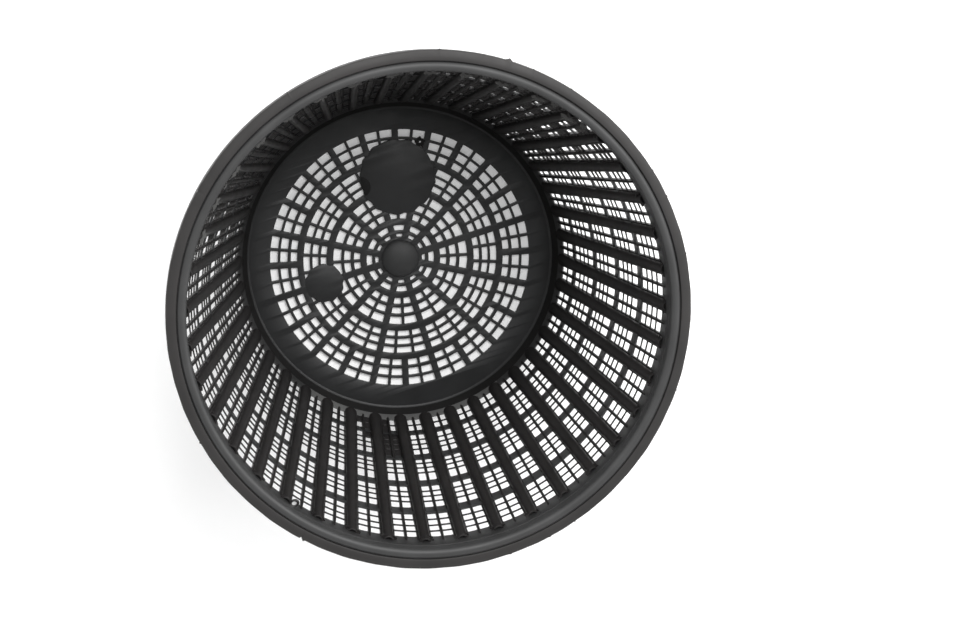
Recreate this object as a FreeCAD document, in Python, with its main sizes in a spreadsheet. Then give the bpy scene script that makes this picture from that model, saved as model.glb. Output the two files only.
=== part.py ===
"""Pond planting basket: one moulded piece with a ribbed, open wall and an open floor.

Millimetres, +Z up. The origin is in the middle of the floor's underside.
One rib and one spoke of the floor lie on +X, where both patterns start.
The wall has a flat panel between each two ribs, so it is a regular polygon inside the round rim.
Its hoops stand upright in the leaning wall: each starts at the inner surface and ends at the outer one.
"""
import FreeCAD, Part
import Sketcher
import math
import os

DRIVING_SIZES = [
    ("rim_diameter", 280.0, "outer edge of the lip"),
    ("basket_height", 174.0, "ground to the top of the bead"),
    ("floor_thickness", 2.2, "floor"),
    ("floor_diameter", 179.4, "top of the floor, inside the step"),
    ("foot_spread", 1.8, "flat underside beyond the floor, along the radius"),
    ("foot_rise", 6.5, "ground to where the bevelled foot meets the wall"),
    ("riser_run", 3.6, "step from the floor up to the ledge, along the radius"),
    ("ledge_height", 7.7, "ground to the inner edge of the ledge"),
    ("ledge_run", 2.2, "sloping ledge between the step and the wall, along the radius"),
    ("wall_foot_height", 10.4, "ground to the foot of the wall"),
    ("wall_thickness", 2.0, "wall, along the radius"),
    ("collar_drop", 20.4, "top of the bead down to the foot of the upright collar"),
    ("lip_width", 5.1, "lip, from the groove to its outer edge"),
    ("lip_drop", 0.8, "inner edge of the lip below the top of the bead"),
    ("lip_fall", 0.6, "fall of the lip towards its outer edge"),
    ("lip_bevel", 1.0, "bevel on the outer edge of the lip"),
    ("lip_thickness", 2.0, "lip and its turned-down skirt"),
    ("skirt_drop", 9.0, "lower edge of the skirt below the top of the bead"),
    ("groove_width", 0.9, "groove between the bead and the lip"),
    ("groove_depth", 1.9, "bottom of the groove below the top of the bead"),
    ("bead_width", 5.0, "bead, along the radius"),
    ("bead_depth", 7.0, "inside face of the bead, from its top"),
    ("bead_bevel", 1.5, "bevel on both top edges of the bead"),
    ("bead_step", 0.5, "inside of the bead, proud of the collar"),
    ("rib_count", 40, "ribs round the wall"),
    ("rib_width", 5.9, "half-round rib"),
    ("rib_rise", 2.4, "rib above the corner of the wall that it stands on"),
    ("rib_root", 0.9, "rib let into the wall"),
    ("rib_foot_height", 7.0, "ground to the lower end of the ribs, in the ledge"),
    ("rib_top_drop", 17.8, "upper end of the ribs below the top of the bead"),
    ("opening_margin", 0.9, "wall between a rib and the openings beside it"),
    ("sill_height", 11.8, "ground to the inner edge of the lowest openings"),
    ("sill_fall", 3.6, "fall of that edge through the wall"),
    ("hoop_pitch", 31.2, "from one hoop to the next"),
    ("first_hoop_top", 31.4, "ground to the top of the lowest hoop"),
    ("narrow_hoop", 9.6, "the two lower hoops, from top to lower edge"),
    ("wide_hoop", 11.8, "the two upper hoops, from top to lower edge"),
    ("hoop_land", 1.8, "part of a hoop that lies in the inner surface of the wall"),
    ("hoop_fall", 6.5, "fall of a hoop's upper side through the wall"),
    ("collar_lap", 8.5, "outer edge of the highest openings below the foot of the collar"),
    ("spoke_count", 12, "spokes that run from the hub to the rim of the floor"),
    ("spoke_width", 3.8, "spokes of the floor"),
    ("floor_ring", 3.9, "rings between the zones of the floor"),
    ("mesh_diameter", 153.6, "outer edge of the openings in the floor"),
    ("middle_zone", 13.5, "zone of openings inside the outer one, along the radius"),
    ("inner_zone", 15.9, "next zone of openings"),
    ("core_zone", 7.1, "openings round the hub"),
    ("hub_margin", 1.6, "plain floor between the hub and the openings round it"),
    ("hub_diameter", 22.4, "domed hub"),
    ("hub_rise", 3.6, "hub above the floor"),
    ("disc_rise", 0.5, "large disc above the floor"),
    ("large_disc", 44.4, "large plain disc in the floor"),
    ("large_disc_x", 13.0, "its middle"),
    ("large_disc_y", 46.9, "its middle"),
    ("small_disc", 22.6, "small plain disc in the floor"),
    ("small_disc_x", -47.1, "its middle, on a spoke"),
    ("small_disc_y", 0.0, "its middle, on a spoke"),
]
NARROW_HOOPS = 2
WIDE_HOOPS = 2

doc = FreeCAD.newDocument("pond_planting_basket")
sheet = doc.addObject("Spreadsheet::Sheet", "dim")
for line, (alias, value, note) in enumerate(DRIVING_SIZES, start=1):
    sheet.set("A%d" % line, note)
    sheet.set("B%d" % line, str(value))
    sheet.setAlias("B%d" % line, alias)
doc.recompute()
Z_AXIS = FreeCAD.Vector(0, 0, 1)
ORIGIN = FreeCAD.Vector(0, 0, 0)

# Heights and radii that the rim's section shares, as expressions of the sheet
LIP_TOP = "(dim.basket_height - dim.lip_drop)"
LIP_EDGE = "(%s - dim.lip_fall)" % LIP_TOP
LIP_UNDERSIDE = "(%s - dim.lip_thickness)" % LIP_EDGE
BEAD_FOOT = "dim.basket_height - dim.bead_depth"
RIM = "dim.rim_diameter / 2"
GROOVE = "(%s - dim.lip_width)" % RIM
BEAD = "(%s - dim.groove_width - dim.bead_width)" % GROOVE
COLLAR_MIDDLE = "%s + dim.bead_step + dim.wall_thickness / 2" % BEAD


def ledge_radius():
    """Inner edge of the ledge, in the middle of a panel."""
    return sheet.floor_diameter / 2 + sheet.riser_run


def collar_radius():
    """Inside of the upright collar under the bead, in the middle of a panel."""
    bead = sheet.rim_diameter / 2 - sheet.lip_width - sheet.groove_width - sheet.bead_width
    return bead + sheet.bead_step


def collar_height():
    """Ground to the foot of the collar."""
    return sheet.basket_height - sheet.collar_drop


def wall_inside(level):
    """Inside of the leaning wall at a height, in the middle of a panel."""
    foot = ledge_radius() + sheet.ledge_run
    share = (level - sheet.wall_foot_height) / (collar_height() - sheet.wall_foot_height)
    return foot + (collar_radius() - foot) * share


def origin_feature(body, role):
    """The body's own origin plane or axis of this role."""
    return [item for item in body.Origin.OriginFeatures if item.Role == role][0]


def pin(sketch, edge, end, across, up):
    """Hold one end of an edge at two expressions, measured from the sketch's origin."""
    for kind, text in (("DistanceX", across), ("DistanceY", up)):
        index = sketch.addConstraint(Sketcher.Constraint(kind, -1, 1, edge, end, 1.0))
        sketch.setExpression("Constraints[%d]" % index, text)


def feature(name, shape):
    """A document object for a shape that is worked out from the sheet."""
    item = doc.addObject("Part::Feature", name)
    item.Shape = shape
    return item


def turned_copies(shape, count, first=0.0):
    """Copies of a shape, spread evenly round the Z axis from a first angle in steps."""
    copies = []
    for number in range(count):
        copy = shape.copy()
        copy.rotate(ORIGIN, Z_AXIS, 360 * (number + first) / count)
        copies.append(copy)
    return copies


def turned_body(name, corners):
    """Turn a closed section, given as pairs of expressions, round the Z axis."""
    body = doc.addObject("PartDesign::Body", name)
    body.Label = name
    sketch = body.newObject("Sketcher::SketchObject", name + "_section")
    sketch.AttachmentSupport = [(origin_feature(body, "XZ_Plane"), "")]
    sketch.MapMode = "FlatFace"
    count = len(corners)
    spread = [FreeCAD.Vector(100 * math.cos(2 * math.pi * number / count),
                             100 * math.sin(2 * math.pi * number / count), 0)
              for number in range(count)]
    for number in range(count):
        sketch.addGeometry(Part.LineSegment(spread[number], spread[(number + 1) % count]))
    for number, (across, up) in enumerate(corners):
        sketch.addConstraint(Sketcher.Constraint("Coincident", number, 1, (number - 1) % count, 2))
        pin(sketch, number, 1, across, up)
    turned = body.newObject("PartDesign::Revolution", name + "_turned")
    turned.Profile = sketch
    turned.ReferenceAxis = (sketch, ["V_Axis"])
    turned.Angle = 360.0
    return body


def make_rim():
    """Bead, groove, lip and turned-down skirt."""
    return turned_body("rim", [
        (BEAD, BEAD_FOOT),
        (COLLAR_MIDDLE, BEAD_FOOT),
        (COLLAR_MIDDLE, LIP_UNDERSIDE),
        (RIM + " - dim.lip_thickness", LIP_UNDERSIDE),
        (RIM + " - dim.lip_thickness", "dim.basket_height - dim.skirt_drop"),
        (RIM, "dim.basket_height - dim.skirt_drop"),
        (RIM, LIP_EDGE + " - dim.lip_bevel"),
        (RIM + " - dim.lip_bevel", LIP_EDGE),
        (GROOVE, LIP_TOP),
        (GROOVE + " - dim.groove_width / 2", "dim.basket_height - dim.groove_depth"),
        (BEAD + " + dim.bead_width - dim.bead_bevel", "dim.basket_height"),
        (BEAD + " + dim.bead_bevel", "dim.basket_height"),
        (BEAD, "dim.basket_height - dim.bead_bevel"),
    ])


def flat_sided(rings):
    """A solid with flat sides between successive rings of as many corners, and flat ends."""
    count = len(rings[0])
    loops = [rings[0], rings[-1]]
    for lower, upper in zip(rings, rings[1:]):
        for number in range(count):
            following = (number + 1) % count
            loops.append([lower[number], lower[following], upper[following], upper[number]])
    faces = [Part.Face(Part.makePolygon(loop + [loop[0]])) for loop in loops]
    return Part.Solid(Part.Shell(faces))


def polygon_solid(profile):
    """A solid with a flat side for each panel, from pairs of side distance and height."""
    count = int(sheet.rib_count)
    rings = []
    for side, level in profile:
        corner = side / math.cos(math.pi / count)
        rings.append([FreeCAD.Vector(corner * math.cos(2 * math.pi * number / count),
                                     corner * math.sin(2 * math.pi * number / count), level)
                      for number in range(count)])
    return flat_sided(rings)


def opening_levels():
    """Lower and upper edge of each opening in a panel, each at the inner and the outer surface."""
    lower = [(sheet.sill_height, sheet.sill_height - sheet.sill_fall)]
    upper = []
    for number in range(NARROW_HOOPS + WIDE_HOOPS):
        top = sheet.first_hoop_top + number * sheet.hoop_pitch
        hoop = sheet.narrow_hoop if number < NARROW_HOOPS else sheet.wide_hoop
        upper.append((top - sheet.hoop_land, top - hoop))
        lower.append((top, top - sheet.hoop_fall))
    upper.append((collar_height() - sheet.hoop_land, collar_height() - sheet.collar_lap))
    return list(zip(lower, upper))


def wall_openings():
    """Tools for the openings of every panel, as far beside the ribs as the margin says."""
    count = int(sheet.rib_count)
    beside_rib = sheet.rib_width / 2 + sheet.opening_margin
    overshoot = sheet.wall_thickness / 4

    def edge(pair, depth):
        """Both ends of an edge at a depth in the wall, on a line through its two heights."""
        inner, outer = pair
        level = inner + (outer - inner) * depth / sheet.wall_thickness
        radius = wall_inside(level) + depth
        half_width = wall_inside(level) * math.tan(math.pi / count) - beside_rib
        return [FreeCAD.Vector(radius, -half_width, level), FreeCAD.Vector(radius, half_width, level)]

    tools = []
    for lower, upper in opening_levels():
        rings = [edge(lower, depth) + edge(upper, depth)[::-1]
                 for depth in (-overshoot, sheet.wall_thickness + overshoot)]
        tools.append(flat_sided(rings))
    return [copy for tool in tools for copy in turned_copies(tool, count, 0.5)]


def rib_shape():
    """One half-round rib on +X, along the corner between two panels, trimmed to the ledge at its foot."""
    low = sheet.rib_foot_height
    high = sheet.basket_height - sheet.rib_top_drop
    to_corner = 1 / math.cos(math.pi / int(sheet.rib_count))
    foot = FreeCAD.Vector(wall_inside(low) * to_corner, 0, low)
    lean = FreeCAD.Vector(wall_inside(high) * to_corner, 0, high) - foot
    along = FreeCAD.Vector(lean).normalize()
    inward = FreeCAD.Vector(-along.z, 0, along.x)
    sideways = FreeCAD.Vector(0, 1, 0)
    half = sheet.rib_width / 2
    middle = foot + inward * (sheet.rib_rise - half)
    back = foot - inward * sheet.rib_root
    left = middle + sideways * half
    right = middle - sideways * half
    outline = Part.Wire([
        Part.Arc(left, middle + inward * half, right).toShape(),
        Part.makeLine(right, back - sideways * half),
        Part.makeLine(back - sideways * half, back + sideways * half),
        Part.makeLine(back + sideways * half, left),
    ])
    corner = FreeCAD.Vector(ledge_radius() * to_corner, -sheet.rib_width, 0)
    room = Part.makeBox(sheet.rim_diameter, 2 * sheet.rib_width, sheet.basket_height, corner)
    return Part.Face(outline).extrude(lean).common(room)


def sector_prism(inner, outer, spokes):
    """A floor opening between the spoke on +X and the next one, with straight sides."""
    half = sheet.spoke_width / 2
    turn = 2 * math.pi / spokes
    depth = FreeCAD.Vector(0, 0, 3 * sheet.floor_thickness)
    base = -sheet.floor_thickness

    def corner(radius, side):
        angle = math.asin(half / radius)
        if side:
            angle = turn - angle
        return FreeCAD.Vector(radius * math.cos(angle), radius * math.sin(angle), base)

    def crown(radius):
        return FreeCAD.Vector(radius * math.cos(turn / 2), radius * math.sin(turn / 2), base)

    outline = Part.Wire([
        Part.makeLine(corner(inner, 0), corner(outer, 0)),
        Part.Arc(corner(outer, 0), crown(outer), corner(outer, 1)).toShape(),
        Part.makeLine(corner(outer, 1), corner(inner, 1)),
        Part.Arc(corner(inner, 1), crown(inner), corner(inner, 0)).toShape(),
    ])
    return Part.Face(outline).extrude(depth)


def floor_openings():
    """Openings of the four zones, from the hub outwards, with twice as many spokes in the outer one."""
    spokes = int(sheet.spoke_count)
    inner = sheet.hub_diameter / 2 + sheet.hub_margin
    prisms = []
    for depth in (sheet.core_zone, sheet.inner_zone, sheet.middle_zone):
        prisms.extend(turned_copies(sector_prism(inner, inner + depth, spokes), spokes))
        inner += depth + sheet.floor_ring
    outermost = sector_prism(inner, sheet.mesh_diameter / 2, 2 * spokes)
    return prisms + turned_copies(outermost, 2 * spokes)


def make_wall_and_floor():
    """Floor, step, ledge, flat wall panels and collar in one, cut through by their openings."""
    low = sheet.foot_rise
    high = sheet.basket_height - sheet.lip_drop - sheet.lip_fall - sheet.lip_thickness / 2
    plain = doc.addObject("Part::Cut", "plain_shell")
    plain.Base = feature("shell_outside", polygon_solid([
        (sheet.floor_diameter / 2 + sheet.foot_spread, 0),
        (wall_inside(low) + sheet.wall_thickness, low),
        (collar_radius() + sheet.wall_thickness, collar_height()),
        (collar_radius() + sheet.wall_thickness, high),
    ]))
    plain.Tool = feature("shell_inside", polygon_solid([
        (sheet.floor_diameter / 2, sheet.floor_thickness),
        (ledge_radius(), sheet.ledge_height),
        (ledge_radius() + sheet.ledge_run, sheet.wall_foot_height),
        (collar_radius(), collar_height()),
        (collar_radius(), high),
    ]))
    pierced = doc.addObject("Part::Cut", "open_shell")
    pierced.Base = plain
    pierced.Tool = feature("openings", Part.Compound(wall_openings() + floor_openings()))
    return pierced


def make_ribs():
    """All the ribs of the wall."""
    return feature("ribs", Part.Compound(turned_copies(rib_shape(), int(sheet.rib_count))))


def make_disc(name, height):
    """A plain disc that fills the mesh of the floor."""
    disc = doc.addObject("Part::Cylinder", name)
    disc.setExpression("Radius", "dim.%s / 2" % name)
    disc.setExpression("Height", height)
    disc.setExpression("Placement.Base.x", "dim.%s_x" % name)
    disc.setExpression("Placement.Base.y", "dim.%s_y" % name)
    return disc


def make_hub():
    """Low dome in the middle of the floor."""
    corners = [("0", "0"), ("dim.hub_diameter / 2", "0")]
    for degrees in (0, 45, 90):
        across = math.cos(math.radians(degrees))
        up = math.sin(math.radians(degrees))
        corners.append(("dim.hub_diameter / 2 * %.4f" % across,
                        "dim.floor_thickness + dim.hub_rise * %.4f" % up))
    return turned_body("hub", corners)


def make_basket():
    """Join wall, floor, ribs, rim, hub and discs in one solid."""
    basket = doc.addObject("Part::MultiFuse", "basket")
    basket.Shapes = [
        make_wall_and_floor(),
        make_ribs(),
        make_rim(),
        make_hub(),
        make_disc("large_disc", "dim.floor_thickness + dim.disc_rise"),
        make_disc("small_disc", "dim.floor_thickness"),
    ]
    basket.Refine = True
    basket.Label = "basket"
    return basket


def check_document():
    """Stop at any failed object or bad shape."""
    for item in doc.Objects:
        if "Invalid" in item.State or "Error" in item.State:
            raise RuntimeError("%s did not recompute" % item.Label)


basket = make_basket()
doc.recompute()
check_document()
if basket.Shape.isNull() or not basket.Shape.isValid() or len(basket.Shape.Solids) != 1:
    raise RuntimeError("basket is not one valid solid")
os.makedirs("parts", exist_ok=True)
basket.Shape.exportStep("parts/%s.step" % basket.Label)
print("basket: %.1f cm3, %d faces" % (basket.Shape.Volume / 1000, len(basket.Shape.Faces)))
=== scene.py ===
"""Looks of the pond planting basket: the whole moulding, with its fine mesh, flash and nicks.

Sizes are in millimetres, in the frame of the CAD part, and MM turns them into metres. Angles are in degrees in
the tables of the constants and in radians elsewhere, unless a docstring says otherwise. The camera stands where
the photograph's did, and the floor and lights are plain.
"""
import math
import random

import bmesh
import bpy
import numpy as np
from mathutils import Matrix, Vector


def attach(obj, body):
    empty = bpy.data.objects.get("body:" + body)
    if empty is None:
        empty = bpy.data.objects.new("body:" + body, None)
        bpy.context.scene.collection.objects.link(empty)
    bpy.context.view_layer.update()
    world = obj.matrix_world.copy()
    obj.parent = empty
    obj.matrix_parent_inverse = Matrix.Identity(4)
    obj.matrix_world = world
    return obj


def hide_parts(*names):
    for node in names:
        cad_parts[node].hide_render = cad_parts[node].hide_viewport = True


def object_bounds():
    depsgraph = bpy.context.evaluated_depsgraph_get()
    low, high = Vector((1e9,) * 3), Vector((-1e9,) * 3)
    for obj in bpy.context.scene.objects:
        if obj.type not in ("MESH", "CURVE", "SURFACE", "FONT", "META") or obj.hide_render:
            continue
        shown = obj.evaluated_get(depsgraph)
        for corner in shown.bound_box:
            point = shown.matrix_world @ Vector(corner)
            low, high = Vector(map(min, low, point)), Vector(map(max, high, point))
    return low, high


MM = 0.001
TURN = 2 * math.pi

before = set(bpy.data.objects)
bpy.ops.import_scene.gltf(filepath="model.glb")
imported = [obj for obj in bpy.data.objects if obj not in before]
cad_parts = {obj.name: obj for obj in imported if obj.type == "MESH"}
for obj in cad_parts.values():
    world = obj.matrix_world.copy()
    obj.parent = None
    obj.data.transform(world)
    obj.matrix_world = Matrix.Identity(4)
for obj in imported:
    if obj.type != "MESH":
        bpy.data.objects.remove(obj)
cad_low, cad_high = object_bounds()
RIM_RADIUS = (cad_high.x - cad_low.x) / 2 / MM
BASKET_HEIGHT = cad_high.z / MM

# Wall: upright hoops, as (inner radius, low, high), in a mesh that leans outwards
RIB_COUNT = 40
PITCH = TURN / RIB_COUNT
WALL_FOOT_RADIUS = 95.5
WALL_FOOT_HEIGHT = 10.4
WALL_LEAN = 0.2374
HOOPS = ((99.7, 22.5, 30.6), (106.8, 52.2, 61.8), (114.4, 82.3, 92.3), (121.8, 112.9, 124.4))
HOOP_THICKNESS = 1.2

# Collar below the rim: the mesh has its full depth up to one height, and from the next it ends inside the collar,
# with some of the collar left outside it
COLLAR_RADIUS = 129.3
COLLAR_FOOT = BASKET_HEIGHT - 27.7
COLLAR_TOP = BASKET_HEIGHT - 10.5
FULL_MESH_TO = COLLAR_FOOT + 0.5
CUT_MESH_FROM = COLLAR_FOOT + 0.6
COLLAR_COVER = 0.1

# Thin hoops that divide the openings into rows of holes
BAR_HEIGHTS = (18.35, 36.65, 42.5, 48.3, 65.6, 70.8, 76.6, 98.35, 104.0, 109.8, 130.15, 136.7, 143.0)
BAR_THICKNESS = 0.55
BAR_DEPTH = 0.85
BAR_PROUD = 0.15

# Where hoops run into an upright: (distance from it, share of the full fillet), the share that an upright bar
# gets, the full fillets below and above a hoop and of a thin hoop, and what extra depth adds to the last
FILLET = ((0.0, 1.0), (0.22, 0.58), (0.55, 0.25), (1.1, 0.05))
UPRIGHT_BAR_SHARE = 0.6
FLARE_DOWN = 1.0
FLARE_UP = 0.8
BAR_FILLET = 0.55
BAR_FILLET_FAR_SHARE = 0.2

# Slight waviness of moulded edges: size of it on hoops and on thin hoops, and its waves in a turn
EDGE_WAVE = 0.12
BAR_WAVE = 0.1
WAVES = (23, 57)
WAVE_SHIFT = 2.3

# The basket's far side has a deeper, half closed mesh: extra depth at angles round it, and the shares of that
# depth by which strips and upright bars are wider there and ribs slimmer
FAR_ANGLES = (12.0, 38.0, 62.0, 80.0, 121.0, 133.0, 150.0)
FAR_DEPTHS = (0.0, 1.4, 1.7, 2.6, 2.6, 1.2, 0.0)
FAR_WIDTH_SHARE = 0.6
FAR_SLIM_SHARE = 0.1

# Strips behind the ribs
STRIP_FOOT = WALL_FOOT_HEIGHT - 1.5
STRIP_TOP = COLLAR_FOOT + 7.0
STRIP_FOOT_WIDTH = 7.8
STRIP_TOP_WIDTH = 8.0
STRIP_DEPTH = 2.0
STRIP_UNEVENNESS = 0.08
STRIP_STEPS = 22
FRONT_BEVEL = 0.25
BACK_BEVEL = 0.3

# Ribs: their rise has a share at the foot and gains the rest over a height, and their blunt head goes through
# (height above its start, share of the section)
RIB_FOOT_WIDTH = 7.6
RIB_TOP_WIDTH = 6.0
RIB_RISE = 2.9
RIB_ROOT = 0.8
RIB_FOOT = 7.3
RIB_TOP = BASKET_HEIGHT - 17.3
RIB_FOOT_SHARE = 0.55
RIB_SHARE_GAIN = 0.45
RIB_GAIN_HEIGHT = 12
RIB_HEAD_LENGTH = 0.7
RIB_HEAD = ((0.45, 0.98), (0.7, 0.9), (0.6, 0.78), (-1.6, 0.7))
RIB_TOP_UNEVENNESS = 0.4
RIB_WIDTH_UNEVENNESS = 0.12
RIB_STEPS = 16
RIB_FACETS = 14

# Thin upright bar in the middle of each panel, through (height, share of the section)
PANEL_BAR_WIDTH = 1.6
PANEL_BAR_RISE = 0.8
PANEL_BAR_ROOT = 1.4
PANEL_BAR_ROOT_SHARE = 1.3
PANEL_BAR_FACETS = 6
PANEL_BAR_STATIONS = ((7.4, 0.25), (9.6, 0.9), (12.0, 1.0), (80.0, 1.0), (FULL_MESH_TO, 0.96),
                      (CUT_MESH_FROM, 0.96), (153.5, 0.7), (157.2, 0.18))

# Rim: bead, groove, lip and turned-down skirt, with the heights of groove and lip as drops below the top
BEAD_BORE = 129.0
BEAD_WIDTH = 5.0
BEAD_ROUND = 2.3
GROOVE_DROPS = (2.1, 2.0)
LIP_INNER = 134.45
LIP_INNER_ROUND = 0.4
LIP_INNER_DROP = 1.2
LIP_MIDDLE_DROP = 0.85
LIP_EDGE = BASKET_HEIGHT - 1.4
LIP_ROUND = 1.1
LIP_THICKNESS = 2.0
SKIRT_FOOT = BASKET_HEIGHT - 9.0
SKIRT_OUTER_ROUND = 0.5
SKIRT_INNER_ROUND = 0.4

# Marks on the lip's outer edge: (angle, half width in degrees, height of flash or depth of nick)
LIP_MARKS = ((55.6, 0.85, 1.5), (67.0, 12.5, 0.35), (70.8, 0.6, 0.6), (49.9, 0.25, 0.5), (40.6, 0.25, 0.4),
             (104.9, 0.25, 0.5), (133.6, 0.3, -0.5), (191.1, 0.3, 0.5), (222.4, 0.3, -1.4), (223.1, 0.35, 0.8),
             (270.6, 0.4, 0.35), (280.1, 0.4, 0.35), (286.6, 0.25, 0.5), (324.1, 0.3, 0.4), (355.1, 0.3, 0.4),
             (8.6, 0.3, 0.5), (15.1, 0.3, 0.35))
MARK_STATIONS = (-1.0, -0.4, 0.0, 0.4, 1.0)

# Flakes of flash on both sides of a rib's head: ranges of their sizes, and their width at foot and tip
FLAKES_A_SIDE = 2
FLAKE_START = (1.8, 2.8)
FLAKE_REACH = (0.8, 2.2)
FLAKE_DROP = (1.0, 4.0)
FLAKE_RISE = (0.6, 2.4)
FLAKE_INWARD = (1.4, 2.7)
FLAKE_THICKNESS = (0.7, 1.3)
FLAKE_WIDTHS = (0.9, 0.3)

# Torn crests on ribs and upright bars between two angles: (size, height of the crest, half width of the ridge) on
# each, the outline as (sideways, above the crest), and the thin ridge that runs down from it. Both are pale: on
# the crests partly as whitened torn plastic and partly as painted highlight, along the ridge as painted highlight
TORN_SIDE = (30.0, 150.0)
TORN_RIB = (1.1, RIB_RISE, 1.5)
TORN_BAR = (0.65, PANEL_BAR_RISE + 0.3, 0.5)
TORN_OUTLINE = ((-3.4, 0.2), (-2.0, 0.9), (-0.9, 0.6), (-0.2, 1.9), (0.9, 0.8), (2.2, 1.2), (3.6, 0.3),
                (1.8, -0.9), (-1.8, -0.9))
TORN_UNEVENNESS = (0.7, 0.25)
TORN_DROP = 4.0
TORN_DROP_UNEVENNESS = 1.5
TORN_LENGTH = 0.9
RIDGE_DROP = 0.4
RIDGE_PLACE = 0.5
RIDGE_LENGTHS = (18.0, 34.0)
RIDGE_STEPS = 8
RIDGE_NARROWING = 0.88
RIDGE_LEVELS = (0.6, 0.86)
RIDGE_RISE = 0.25
RIDGE_WANDER = 0.15

# Curled shaving: (angle, radius, height) of its middle, half the width and height of its band, and the pale spot
# in it, a painted highlight, as (radius, height above the middle)
CURL = (217.9, 127.8, 157.5)
CURL_RADIUS = 2.1
CURL_BAND = (0.75, 0.9)
CURL_FLATNESS = 0.8
CURL_STEPS = (24, 8)
CURL_SPOT = ((1.5, -0.4), (1.3, 0.1))
CURL_SPOT_STEPS = 12

# Dark sheets behind some of the lowest holes that stand in for the shadow seen through them (painted shadow), as
# (panel, side of its bar, low, high)
SHADOW_SHEETS = ((26, -1, 11.0, 18.5), (26, 1, 11.0, 24.5), (26, 1, 30.0, 37.0), (27, -1, 11.0, 55.0),
         (27, 1, 30.0, 55.0))
SHADOW_SHEET_DEPTHS = (0.35, 0.6)
SHADOW_SHEET_MARGIN = 1.6
SHADOW_SHEET_STEPS = 6

# Step between floor and wall, one segment a degree, with a stretch of the ledge between two angles painted pale
# for the light that it catches there (painted highlight)
FLOOR_THICKNESS = 2.2
FLOOR_RADIUS = 89.7
LEDGE_RADIUS = 93.4
LEDGE_HEIGHT = 7.7
FOOT_RADIUS = 91.5
FOOT_RISE = 6.5
STEP_SEGMENTS = 360
PALE_LEDGE = (214, 290)

# Rows of holes in the floor, as (inner, outer) radius, and the spokes of a sector of each zone: the first and
# the last are wide and the others thin
WIDE_SPOKE = 3.8
THIN_SPOKE = 1.65
OUTER_ROWS = ((72.3, 76.8), (66.5, 70.8), (61.0, 64.7))
OUTER_SPOKES = (0.0, 7.5, 15.0)
MIDDLE_ROWS = ((53.5, 57.2), (48.6, 52.0), (43.7, 47.0))
MIDDLE_SPOKES = (0.0, 9.6, 20.4, 30.0)
INNER_ROWS = ((35.1, 39.7), (29.5, 33.3), (23.8, 27.5))
INNER_SPOKES = (0.0, 15.0, 30.0)
CORE_ROWS = ((16.8, 20.0), (12.9, 14.8))
CORE_SPOKES = (0.0, 30.0)
ROW_UNEVENNESS = 0.1
HOLE_STEPS = 4
HOLE_CORNER = 0.45
HOLE_CORNER_RANGE = (0.7, 1.3)
HOLE_CORNER_SHARPNESS = 0.6

# Hub, and discs of the floor as (across, along, radius), with how far they rise above the floor. A dark patch in a
# hollow of the large disc's edge stands in for its shade (painted shade): it lies between levels below and above
# the large disc's top. The lump has a hole, as (offset, radius)
HUB_RADIUS = 11.2
HUB_RISE = 3.6
HUB_FOOT = 0.05
HUB_TOP_RADIUS = 0.4
HUB_STEPS = 12
HUB_SEGMENTS = 72
LARGE_DISC = (13.0, 46.9, 22.2)
LARGE_DISC_RISE = 0.5
SMALL_DISC = (-47.1, 0.0, 11.3)
SMALL_DISC_RISE = 0.15
DISC_FOOT = 0.1
HOLLOW_SHADE = (-9.9, 48.0, 6.3)
HOLLOW_SHADE_MARGIN = 0.4
HOLLOW_SHADE_LEVELS = (0.5, 0.12)
TORN_LUMP = (31.6, 62.5, 2.9)
LUMP_FOOT = 0.3
LUMP_RISE = 0.3
LUMP_HOLE = (0.3, 0.7)

# Distances within which doubled vertices are merged, in pieces and in plates, and the angle from which an edge
# stays sharp
PIECE_MERGE = 0.001
PLATE_MERGE = 0.004
SHARP_FROM = 35.0

# Moulded plastic: noises as (scale, detail), the shares of the colour at two places of its noise, the spread of
# the roughness, and how much of the relief is grain
MOTTLE_NOISE = (38.0, 4.0)
SHEEN_NOISE = (90.0, 3.0)
GRAIN_NOISE = (1800.0, 2.0)
FLOW_NOISE = (220.0, 2.0)
MOTTLE_STOPS = ((0.3, 0.8), (0.72, 1.25))
ROUGHNESS_SPREAD = (-0.08, 0.1)
GRAIN_SHARE = 0.35
RELIEF_STRENGTH = 0.35
RELIEF_HEIGHT = 0.12

# Camera fit to the photograph, in a frame with its origin in the rim's plane and X to the right of the picture
FRAME_TURN = math.radians(17.9)
FIT_UNIT = RIM_RADIUS * MM
FIT_ORIGIN_HEIGHT = (BASKET_HEIGHT - 1.0) * MM
FIT_TILT = Vector((0.197665952, 0.126849670, 0.0))
FIT_OFFSET = Vector((-0.187729118, 0.0148123966, -10.2133431))
FIT_FOCAL_PIXELS = 2701.9925
PHOTO_SIZE = (960, 640)
PRINCIPAL_POINT = (481.263, 318.661)
SENSOR_WIDTH_MM = 36.0
CLIP_END_M = 20.0

# Lamps, as (right, up, height) in the picture, size and power, what they point at, and the sky's strength low down
# and overhead, with the heights between which it fades. Lengths are in metres here
KEY_LAMP = ((0.35, 1.05, 1.65), 1.3, 43.0)
FILL_LAMP = ((1.45, 0.55, 1.0), 1.0, 14.0)
LAMP_AIM = (0, 0, 0.08)
SKY_STRENGTHS = (1.3, 0.34)
SKY_FADE = (0.45, 0.97)

# Plain floor that the basket stands on, in metres, and the brightness that is added where it is seen
GROUND_HALF = 6.0
GROUND_COLOUR = (0.86, 0.86, 0.86, 1)
GROUND_ROUGHNESS = 0.9
GROUND_SPECULAR = 0.1
GROUND_GLOW = 0.18

rng = random.Random(11)


def uneven(size):
    """A random number from -size to size."""
    return rng.uniform(-size, size)


def rib_angle(number):
    """Angle of a rib, or of a place between two ribs where the number isn't whole."""
    return TURN * number / RIB_COUNT


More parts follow.
